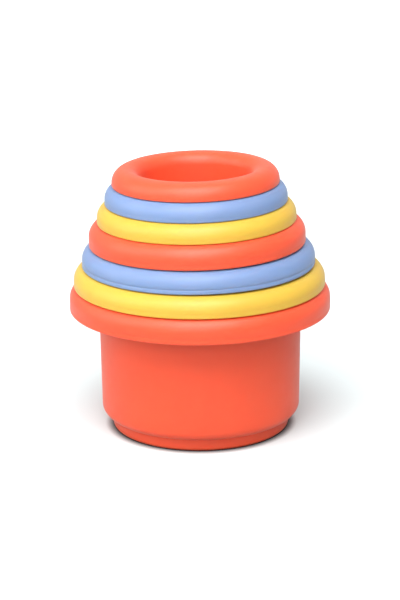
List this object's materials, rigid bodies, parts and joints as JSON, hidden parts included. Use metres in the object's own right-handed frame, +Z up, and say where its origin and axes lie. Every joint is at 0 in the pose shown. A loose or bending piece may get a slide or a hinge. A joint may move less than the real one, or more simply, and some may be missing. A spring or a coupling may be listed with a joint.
{
  "type": "stacking cup tower",
  "caption": "Tower of nested round stacking cups with thick domed rims in red, blue and yellow, each rim resting on the next larger one.",
  "frame": {"origin": "on the floor, under the centre of the largest cup's foot", "axes": "+Z up along the largest cup's axis, -Y towards the viewer, +X to the viewer's right"},
  "size_m": [0.1, 0.1, 0.1026],
  "materials": {
    "red_plastic": "smooth matte moulded, coral red",
    "blue_plastic": "smooth matte moulded, cornflower blue",
    "yellow_plastic": "smooth matte moulded, lemon yellow"
  },
  "bodies": {
    "cup_1": {"cup_1_red": "red_plastic"},
    "cup_2": {"cup_2_blue": "blue_plastic"},
    "cup_3": {"cup_3_yellow": "yellow_plastic"},
    "cup_4": {"cup_4_red": "red_plastic"},
    "cup_5": {"cup_5_blue": "blue_plastic"},
    "cup_6": {"cup_6_yellow": "yellow_plastic"},
    "cup_7": {"cup_7_red": "red_plastic"}
  },
  "joints": [
    {"name": "cup_6_lift", "type": "slide", "parent": "cup_7", "child": "cup_6", "axis": [0, 0, 1], "range_m": [0, 0.051]},
    {"name": "cup_5_lift", "type": "slide", "parent": "cup_6", "child": "cup_5", "axis": [-0.0035, 0, 1], "range_m": [0, 0.047]},
    {"name": "cup_4_lift", "type": "slide", "parent": "cup_5", "child": "cup_4", "axis": [-0.0122, 0, 0.9999], "range_m": [0, 0.043]},
    {"name": "cup_3_lift", "type": "slide", "parent": "cup_4", "child": "cup_3", "axis": [-0.0192, 0, 0.9998], "range_m": [0, 0.041]},
    {"name": "cup_2_lift", "type": "slide", "parent": "cup_3", "child": "cup_2", "axis": [-0.0192, 0, 0.9998], "range_m": [0, 0.038]},
    {"name": "cup_1_lift", "type": "slide", "parent": "cup_2", "child": "cup_1", "axis": [-0.0192, 0, 0.9998], "range_m": [0, 0.036]}
  ]
}
